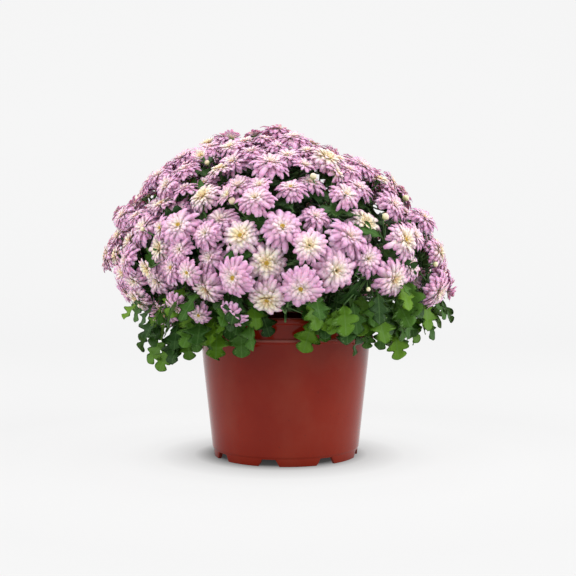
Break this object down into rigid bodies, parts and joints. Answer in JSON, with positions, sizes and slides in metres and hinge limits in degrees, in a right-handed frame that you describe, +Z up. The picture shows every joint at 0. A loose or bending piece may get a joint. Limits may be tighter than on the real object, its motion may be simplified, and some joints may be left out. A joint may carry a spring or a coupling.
{
  "type": "pot chrysanthemum",
  "caption": "Flowering pot chrysanthemum: a domed head of lilac blooms on leafy stems, standing in a round terracotta-red nursery pot with notched feet.",
  "frame": {"origin": "on the floor under the middle of the whole plant; the dome leans to -X, so the pot's axis stands 6 mm to the +X side of the origin", "axes": "+Z up; the pictured front faces -Y and the picture's right is +X"},
  "size_m": [0.4394, 0.4264, 0.4154],
  "materials": {
    "pot_plastic": "glossy moulded terracotta red",
    "peat": null,
    "petals": "soft lilac petals with cream bases and yellow eyes",
    "leaves": "matt green lobed leaves and stems"
  },
  "bodies": {
    "root": {"crown_stem": "leaves", "leafy_stem_01": "leaves", "leafy_stem_02": "leaves", "leafy_stem_03": "leaves", "leafy_stem_04": "leaves", "leafy_stem_05": "leaves", "leafy_stem_06": "leaves", "leafy_stem_07": "leaves", "leafy_stem_08": "leaves", "leafy_stem_09": "leaves", "leafy_stem_10": "leaves", "pot": "pot_plastic", "soil": "peat", "spray_01": "petals", "spray_02": "petals", "spray_03": "petals", "spray_04": "petals", "spray_05": "petals", "spray_06": "petals", "spray_07": "petals", "spray_08": "petals", "spray_09": "petals", "spray_10": "petals", "spray_11": "petals", "spray_12": "petals", "spray_13": "petals", "spray_14": "petals", "spray_15": "petals", "spray_16": "petals", "spray_17": "petals", "spray_18": "petals", "spray_19": "petals", "spray_20": "petals", "spray_21": "petals", "spray_22": "petals", "spray_23": "petals", "spray_24": "petals", "spray_25": "petals", "spray_26": "petals", "spray_27": "petals", "spray_28": "petals", "spray_29": "petals", "spray_30": "petals", "spray_31": "petals", "spray_32": "petals", "spray_33": "petals", "spray_34": "petals", "spray_35": "petals", "spray_36": "petals", "spray_37": "petals", "spray_38": "petals", "spray_39": "petals", "spray_40": "petals"}
  },
  "joints": []
}
